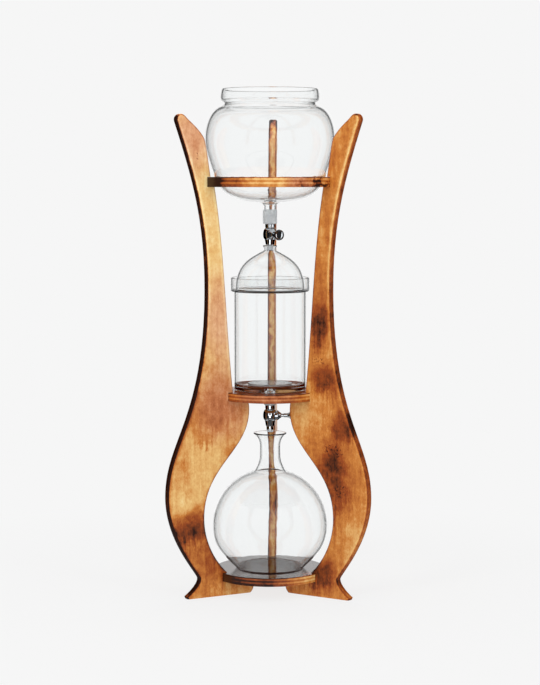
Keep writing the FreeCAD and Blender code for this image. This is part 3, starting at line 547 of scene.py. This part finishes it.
@dataclass(frozen=True)
class ChromedBrass(Finish):
    """Polished chromium on turned brass: a mirror with faint smears from handling."""

    body: str = "#B9BDC1"
    smear_mm: float = 3.0
    gloss: tuple[float, float] = (0.05, 0.11)

    def shader(self, tree: bpy.types.NodeTree) -> bpy.types.Node:
        """Make the chrome's shader.

        Args:
            tree: The material's node tree.

        Returns:
            The shader node.
        """
        coordinates = add(tree, "TexCoord")
        smear = add(tree, "TexNoise", {"Vector": coordinates.outputs["Object"],
                                       "Scale": per_mm(self.smear_mm), "Detail": 4.0})
        gloss = add(tree, "MapRange", {"Value": smear, "From Min": 0.3, "From Max": 0.7,
                                       "To Min": self.gloss[0], "To Max": self.gloss[1]})
        return add(tree, "BsdfPrincipled", {"Base Color": linear(self.body), "Metallic": 1.0,
                                            "Roughness": gloss})


@dataclass(frozen=True)
class Plain(Finish):
    """A matt or satin material with fine mottling, such as rubber, beech or zinc."""

    light: str = "#808080"
    shade: str = "#707070"
    grain_mm: float = 1.0
    roughness: float = 0.6
    metallic: float = 0.0
    relief_mm: float = 0.05

    def shader(self, tree: bpy.types.NodeTree) -> bpy.types.Node:
        """Make the shader from one mottled noise, for the colour and the relief.

        Args:
            tree: The material's node tree.

        Returns:
            The shader node.
        """
        coordinates = add(tree, "TexCoord")
        mottle = add(tree, "TexNoise", {"Vector": coordinates.outputs["Object"],
                                        "Scale": per_mm(self.grain_mm), "Detail": 4.0})
        tone = add(tree, "ValToRGB", {"Fac": mottle}, stops=((0.35, self.shade), (0.65, self.light)))
        bump = add(tree, "Bump", {"Strength": 0.4, "Distance": self.relief_mm * MM, "Height": mottle})
        return add(tree, "BsdfPrincipled", {"Base Color": tone, "Roughness": self.roughness,
                                            "Metallic": self.metallic, "Normal": bump})


def dress(frame: dict, finish: Finish, slot: str, *nodes: str) -> None:
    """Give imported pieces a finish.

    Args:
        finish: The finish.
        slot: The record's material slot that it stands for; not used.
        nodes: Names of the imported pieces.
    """
    material = finish.material()
    for name in nodes:
        piece = frame["nodes"][name]
        piece.data.materials.clear()
        piece.data.materials.append(material)
        LOG.info("%s: %s", name, finish.title)


@dataclass
class TimberFrame:
    """The three legs and the three round boards, with what holds them together."""

    axis: tuple[float, float]
    headings: dict[str, float] = field(default_factory=lambda: {
        "leg_rear": math.radians(90),
        "leg_front_left": math.radians(210),
        "leg_front_right": math.radians(330),
    })

    def leg_finishes(self) -> dict[str, FlamedWood]:
        """Each leg was flamed by hand, so each has a warmth and patches of its own.

        Returns:
            The finish of each leg, under the leg's name.
        """
        deep = 60  # half a patch's depth in millimetres, right through the board
        left = (
            # the horn and the slim stretch below it
            Patch(0.10, (165, 0, 860), (60, deep, 70)),
            Patch(-0.06, (125, 0, 700), (50, deep, 130)),
            Patch(0.05, (110, 0, 540), (45, deep, 120)),
            # the rosy shoulder beside the middle shelf
            Patch(0.12, (110, 0, 430), (60, deep, 60)),
            Patch(0.30, (122, 0, 350), (110, deep, 80)),
            Patch(0.18, (142, 0, 300), (32, deep, 18)),
            # the belly, warmer along both edges
            Patch(0.22, (88, 0, 258), (32, deep, 70)),
            Patch(0.16, (192, 0, 270), (30, deep, 80)),
            Patch(0.04, (150, 0, 230), (70, deep, 90)),
            # the scorch above the foot, and the foot
            Patch(0.34, (176, 0, 136), (56, deep, 52)),
            Patch(0.36, (155, 0, 104), (110, deep, 90)),
            Patch(0.22, (112, 0, 62), (56, deep, 56)),
            Patch(0.26, (150, 0, 14), (150, deep, 60)),
            # two nicks in the horn's face
            Patch(0.60, (155, 8, 828), (2.5, 9, 1.8)),
            Patch(0.60, (155, 8, 818), (3.5, 9, 1.6)),
        )
        left_rosy = (
            Patch(1.0, (165, 0, 860), (80, deep, 100)),
            Patch(0.9, (105, 0, 520), (60, deep, 130)),
            Patch(1.0, (105, 0, 365), (90, deep, 100)),
        )
        right = (
            # the dark column beside the cylinder
            Patch(0.12, (112, 0, 570), (34, deep, 90)),
            Patch(0.34, (114, 0, 509), (34, deep, 60)),
            Patch(0.34, (127, 0, 410), (46, deep, 44)),
            # pale towards the carafe's neck, dark down the middle of the belly
            Patch(-0.16, (78, 0, 350), (60, deep, 85)),
            Patch(0.34, (165, 0, 322), (36, deep, 44)),
            Patch(0.16, (140, 0, 265), (50, deep, 46)),
            Patch(0.30, (146, 0, 215), (56, deep, 100)),
            # the belly's pale outer side and the dark inner foot
            Patch(-0.16, (192, 0, 120), (50, deep, 84)),
            Patch(0.36, (112, 0, 42), (56, deep, 50)),
        )
        cracks = (
            Patch(1.0, (145, -8, 280), (30, 14, 16)),
            Patch(1.0, (160, -8, 205), (18, 14, 14)),
            Patch(1.0, (112, -8, 447), (20, 14, 10)),
        )
        rear = (
            # the dark top and three marks down the board
            Patch(0.50, (185, 0, 905), (60, deep, 40)),
            Patch(0.25, (125, 0, 720), (40, deep, 60)),
            Patch(0.30, (50, 0, 395), (40, deep, 40)),
            Patch(0.20, (140, 0, 140), (60, deep, 36)),
            # painted shade down the face turned from the light, and a painted highlight along the edge
            # between the faces
            Patch(0.26, (120, 9, 500), (400, 8, 1200)),
            Patch(-0.20, (120, -1, 500), (400, 5, 1200)),
        )
        return {
            "leg_front_left": FlamedWood(
                "flamed board, left leg", self.axis, self.headings["leg_front_left"], 0.26, left, left_rosy,
                # the paler upper bands beside the arrises are a painted highlight
                outer_band_heat_and_highlight=((0, 0.1), (150, 0.15), (300, 0.28), (450, 0.12), (560, -0.12), (850, -0.2),
                            (904, 0.1)),
                inner_band_heat_and_highlight=((0, 0.1), (150, 0.12), (330, 0.0), (420, -0.18), (800, -0.12), (950, 0.1)),
                # the dark outer narrow face, turned from the light, is partly painted shade
                outer_face_scorch_and_shade=0.8, arris=0.35),
            "leg_front_right": FlamedWood(
                "flamed board, right leg", self.axis, self.headings["leg_front_right"], 0.54, right,
                crackled=cracks, outer_face_scorch_and_shade=0.24,
                # its paler outer band is a painted highlight
                outer_band_heat_and_highlight=((0, 0.0), (150, -0.1), (300, -0.1), (560, -0.2), (700, -0.32), (870, -0.3),
                            (904, 0.0))),
            "leg_rear": FlamedWood("flamed board, rear leg", self.axis, self.headings["leg_rear"], 0.48, rear,
                                   outer_face_scorch_and_shade=0.3, inner_face=0.0, arris=0.35),
        }

    def board_finish(self, node: str, warmth: float, varnish: float, top: float, patches: tuple[Patch, ...],
                     rosy: tuple[Patch, ...]) -> FlamedPlywood:
        """The finish of one round board.

        Args:
            node: The board's name.
            warmth: How far the whole board is toned.
            varnish: How much clear varnish lies on it.
            top: How much further its top is burnt.
            patches: Its patches, with x to the right, y to the rear and z up from the floor.
            rosy: Where it is rosy.

        Returns:
            The finish.
        """
        low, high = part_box(node)
        return FlamedPlywood(f"flamed plywood, {node}", self.axis, 0.0, warmth, patches, rosy,
                             varnish=varnish, underside=low.z, thickness=high.z - low.z, top=top)

    def build(self, frame: dict) -> None:
        """Dress the legs, the boards and the fasteners.
        """
        for name, finish in self.leg_finishes().items():
            dress(frame, finish, "flamed_wood", name)
        ring = (
            Patch(0.95, (-118, -75, 779), (52, 100, 60)),
            Patch(0.20, (-70, -115, 779), (44, 70, 60)),
            Patch(-0.14, (5, -135, 779), (70, 50, 30)),
            Patch(0.50, (90, -105, 772), (56, 80, 9)),
        )
        middle = (
            Patch(-0.25, (84, -40, 381), (26, 60, 12)),
            Patch(0.15, (-88, -40, 377), (24, 60, 40)),
        )
        base = (
            Patch(0.70, (-92, -62, 35), (56, 80, 40)),
            Patch(0.30, (-20, -105, 35), (80, 60, 40)),
            Patch(-0.25, (82, -70, 36), (44, 60, 30)),
        )
        boards = (("upper_ring_shelf", 0.42, 0.25, 0.0, ring, (Patch(1.0, (60, -120, 779), (40, 60, 20)),)),
                  ("middle_shelf", 0.52, 0.6, 0.35, middle, (Patch(1.0, (-10, -90, 377), (90, 60, 40)),)),
                  ("base_disc", 0.5, 1.0, 0.6, base, (Patch(0.6, (-10, -105, 35), (70, 60, 40)),)))
        for name, *look in boards:
            dress(frame, self.board_finish(name, *look), "flamed_plywood", name)
        dress(frame, Plain("planed beech", light="#D9B88A", shade="#C49E6C"), "dowel_beech",
              "ring_shelf_dowels", "middle_shelf_dowels")
        dress(frame, Plain("zinc-plated steel", light="#B9BCBE", shade="#A3A7AA", roughness=0.35,
                           metallic=1.0, relief_mm=0.01), "zinc_steel", "base_disc_screws")


@dataclass
class DripValve:
    """One chromed drip valve with its seals and its knob.

    Args:
        place: The first word of its pieces' names.
    """

    place: str
    chromed: tuple[str, ...] = ("valve_body", "gland_nut", "drip_tip", "valve_plug", "valve_knob")

    def build(self, frame: dict) -> None:
        """Dress the valve.
        """
        dress(frame, ChromedBrass(f"chromed brass, {self.place} valve"), "chromed_brass",
              *(f"{self.place}_{piece}" for piece in self.chromed))
        dress(frame, Plain(f"black nitrile rubber, {self.place} valve", light="#1B1B1C", shade="#121212",
                           roughness=0.7), "black_rubber", f"{self.place}_valve_seals")


@dataclass
class Glassware:
    """The water globe, the brewer with its lid and filter, the carafe and the sleeves."""

    vessels: tuple[str, ...] = ("water_globe", "dome_lid", "brew_cylinder", "carafe")

    def build(self, frame: dict) -> None:
        """Dress the vessels, the sleeves and the filter.
        """
        dress(frame, BorosilicateGlass("borosilicate glass"), "borosilicate_glass", *self.vessels)
        for name in self.vessels:
            frame["nodes"][name].visible_shadow = False
        dress(frame, Silicone("moulded silicone"), "clear_silicone", "upper_coupling_sleeve",
              "lower_coupling_sleeve", "filter_gasket")
        dress(frame, SinteredGlass("sintered glass"), "sintered_glass", "filter_disc")


@dataclass
class Studio:
    """The pale room: a floor, a backdrop in the world, soft boxes and the camera.

    The camera stands where the photograph was taken from: its distance and height, how far it
    looks down and how far it stands to the right of the tower's front. The room's light by
    direction is given as degrees away from the camera's view and strengths, once for what glass
    lets through and once for what varnish and chrome mirror. Soft boxes and windows are a name, a
    place, a size and a power in watts.

    Args:
        axis: The tower's axis on the floor.
    """

    axis: tuple[float, float]
    distance: float = 3.589
    height: float = 0.7848
    pitch: float = math.radians(4.926)
    turn: float = math.radians(2.0)
    lens_mm: float = 99.7
    film_mm: float = 36.0
    floor_reach: float = 6.0
    floor_rings: int = 48
    floor_steps: int = 96
    seen_through: tuple[tuple[float, float], ...] = ((90, 0.92), (40, 0.85), (34, 0.2), (21, 0.2), (13, 1.0),
                                                     (0, 1.0))
    mirrored: tuple[tuple[float, float], ...] = ((90, 0.03), (30, 0.05), (18, 1.0), (0, 1.0))
    backdrop_light: float = 1.09
    ambient: float = 0.55
    paper: str = "#E4E4E4"
    paper_from: float = 0.3
    paper_to: float = 1.0
    paper_glow: float = 0.85
    aim_height: float = 0.45
    soft_boxes: tuple[tuple[str, tuple[float, float, float], tuple[float, float], float], ...] = (
        ("key_box", (-1.6, -2.2, 1.5), (0.9, 1.8), 34.0),
        ("fill_box", (1.8, -2.0, 1.2), (0.7, 1.6), 22.0),
        ("top_box", (0.0, 0.2, 2.6), (1.8, 1.8), 30.0),
    )
    windows: tuple[tuple[str, tuple[float, float, float], tuple[float, float], float], ...] = (
        ("left_window", (-0.72, -2.2, 0.9), (0.7, 1.7), 9.0),
        ("right_window", (0.86, -2.2, 0.9), (0.7, 1.7), 9.0),
        ("side_card", (1.5, -0.45, 0.8), (0.5, 0.7), 4.0),
        ("floor_card", (0.0, -0.8, 0.05), (0.35, 0.6), 2.5),
    )

    def camera(self) -> None:
        """Put the camera where the photograph was taken from."""
        data = bpy.data.cameras.new("camera")
        data.lens = self.lens_mm
        data.sensor_width = self.film_mm
        data.clip_end = 100.0
        camera = bpy.data.objects.new("camera", data)
        camera.location = (self.axis[0] + self.distance * math.sin(self.turn),
                           self.axis[1] - self.distance * math.cos(self.turn), self.height)
        camera.rotation_euler = (math.radians(90) - self.pitch, 0.0, self.turn)
        bpy.context.scene.collection.objects.link(camera)
        bpy.context.scene.camera = camera

    def floor(self) -> None:
        """Make a round floor that takes the tower's shadow and fades into the background.

        The grid is polar: rings whose radius grows with the square of their number, and equal
        steps round each ring.
        """
        rings = np.linspace(0, 1, self.floor_rings + 1)[1:] ** 2 * self.floor_reach
        angles = np.arange(self.floor_steps) * 2 * np.pi / self.floor_steps
        radius, angle = np.meshgrid(rings, angles, indexing="ij")
        around = np.stack([self.axis[0] + radius * np.cos(angle), self.axis[1] + radius * np.sin(angle),
                           np.zeros_like(radius)], axis=-1).reshape(-1, 3)
        points = np.vstack([[(*self.axis, 0.0)], around])
        index = 1 + np.arange(self.floor_rings * self.floor_steps).reshape(self.floor_rings, self.floor_steps)
        after = np.roll(index, -1, axis=1)
        quads = np.stack([index[:-1], index[1:], after[1:], after[:-1]], axis=-1).reshape(-1, 4)
        middle = np.stack([np.zeros(self.floor_steps, int), index[0], after[0]], axis=-1)
        mesh = bpy.data.meshes.new("floor")
        mesh.from_pydata(points.tolist(), [], middle.tolist() + quads.tolist())
        floor = bpy.data.objects.new("floor", mesh)
        bpy.context.scene.collection.objects.link(floor)
        mesh.materials.append(self.floor_paper())

    def room(self, tree: bpy.types.NodeTree, ray: bpy.types.NodeSocket | bpy.types.Node) -> bpy.types.Node:
        """Strength of the light that glass and metal see round the tower.

        Behind the tower hangs the bright backdrop, between two dark flags that draw the dark
        lines at the edges of the glass. Past the flags the room is nearly as bright for the
        glass, and dark for what the varnish and the chrome mirror.

        Args:
            tree: The node tree that gets the nodes.
            ray: The direction that the light comes from.

        Returns:
            The node whose output is the strength.
        """
        level = math.cos(self.pitch)
        ahead = (-math.sin(self.turn) * level, math.cos(self.turn) * level, -math.sin(self.pitch))
        depth = add(tree, "VectorMath", {0: ray, 1: ahead}, operation="DOT_PRODUCT")
        forward = add(tree, "Math", {0: depth.outputs["Value"], 1: 0.0}, operation="MAXIMUM")
        lights = []
        for rounds in (self.seen_through, self.mirrored):
            bends = tuple((math.cos(math.radians(angle)), light) for angle, light in rounds)
            lights.append(add(tree, "FloatCurve", {"Value": forward}, bends=bends))
        path = add(tree, "LightPath")
        light = add(tree, "Mix", {"Factor": path.outputs["Is Reflection Ray"], "A": lights[0],
                                  "B": lights[1]}, data_type="FLOAT")
        return add(tree, "Math", {0: light, 1: self.backdrop_light}, operation="MULTIPLY")

    def floor_paper(self) -> bpy.types.Material:
        """White paper that shows little shadow and turns into the backdrop's own light further out.

        Returns:
            The material.
        """
        made = bpy.data.materials.new("studio paper")
        made.use_nodes = True
        tree = made.node_tree
        tree.nodes.clear()
        coordinates = add(tree, "TexCoord")
        away = add(tree, "VectorMath", {0: coordinates.outputs["Object"], 1: (*self.axis, 0.0)},
                   operation="DISTANCE")
        share = add(tree, "MapRange", {"Value": away.outputs["Value"], "From Min": self.paper_from,
                                       "From Max": self.paper_to, "To Min": self.paper_glow},
                    interpolation_type="SMOOTHSTEP")
        paper = add(tree, "BsdfDiffuse", {"Color": linear(self.paper)})
        seen = add(tree, "LightPath")
        geometry = add(tree, "NewGeometry")
        ray = add(tree, "VectorMath", {0: geometry.outputs["Incoming"], "Scale": -1.0}, operation="SCALE")
        bent = add(tree, "Math", {0: seen.outputs["Is Transmission Ray"], 1: seen.outputs["Is Glossy Ray"]},
                   operation="MAXIMUM")
        strength = add(tree, "Mix", {"Factor": bent, "A": 1.0, "B": self.room(tree, ray)}, data_type="FLOAT")
        glow = add(tree, "Emission", {"Color": linear(BACKGROUND), "Strength": strength})
        mixed = add(tree, "MixShader", {0: share, 1: paper, 2: glow})
        add(tree, "OutputMaterial", {"Surface": mixed})
        return made

    def world(self) -> None:
        """Light the room evenly, show the camera the backdrop, and glass and metal the room."""
        world = bpy.data.worlds.new("studio")
        bpy.context.scene.world = world
        world.use_nodes = True
        tree = world.node_tree
        tree.nodes.clear()
        path = add(tree, "LightPath")
        coordinates = add(tree, "TexCoord")
        bent = add(tree, "Math", {0: path.outputs["Is Transmission Ray"], 1: path.outputs["Is Glossy Ray"]},
                   operation="MAXIMUM")
        flat = add(tree, "MapRange", {"Value": path.outputs["Is Camera Ray"], "To Min": self.ambient,
                                      "To Max": 1.0})
        room = self.room(tree, coordinates.outputs["Generated"])
        strength = add(tree, "Mix", {"Factor": bent, "A": flat, "B": room}, data_type="FLOAT")
        backdrop = add(tree, "Background", {"Color": linear(BACKGROUND), "Strength": strength})
        add(tree, "OutputWorld", {"Surface": backdrop})

    def lamp(self, name: str, place: tuple[float, float, float], size: tuple[float, float], power: float
             ) -> bpy.types.Object:
        """Hang one lamp, turned to the tower's middle.

        Args:
            name: The lamp's name.
            place: Its middle.
            size: Its width and height.
            power: Its light in watts.

        Returns:
            The lamp.
        """
        data = bpy.data.lights.new(name, "AREA")
        data.shape = "RECTANGLE"
        data.size, data.size_y = size
        data.energy = power
        lamp = bpy.data.objects.new(name, data)
        lamp.location = place
        middle = Vector((*self.axis, self.aim_height))
        lamp.rotation_euler = (middle - Vector(place)).to_track_quat("-Z", "Y").to_euler()
        bpy.context.scene.collection.objects.link(lamp)
        return lamp

    def lamps(self, frame: dict) -> None:
        """Hang the soft boxes, and the windows that only the chrome mirrors.
        """
        for box in self.soft_boxes:
            lamp = self.lamp(*box)
            lamp.visible_glossy = False
            lamp.visible_transmission = False
        chrome = bpy.data.collections.new("chromed pieces")
        for place in ("upper", "lower"):
            for piece in DripValve(place).chromed:
                chrome.objects.link(frame["nodes"][f"{place}_{piece}"])
        for window in self.windows:
            lamp = self.lamp(*window)
            lamp.light_linking.receiver_collection = chrome
            lamp.visible_transmission = False

    def build(self, frame: dict) -> None:
        """Set the room up.
        """
        self.camera()
        self.floor()
        self.world()
        self.lamps(frame)
        bpy.context.scene.view_settings.view_transform = "Standard"


def main() -> None:
    """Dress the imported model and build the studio."""
    logging.basicConfig(level=logging.INFO, format="%(message)s")
    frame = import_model()
    low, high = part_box("base_disc")
    axis = ((low.x + high.x) / 2, (low.y + high.y) / 2)
    TimberFrame(axis).build(frame)
    Glassware().build(frame)
    for place in ("upper", "lower"):
        DripValve(place).build(frame)
    Studio(axis).build(frame)


if __name__ == "__main__":
    main()
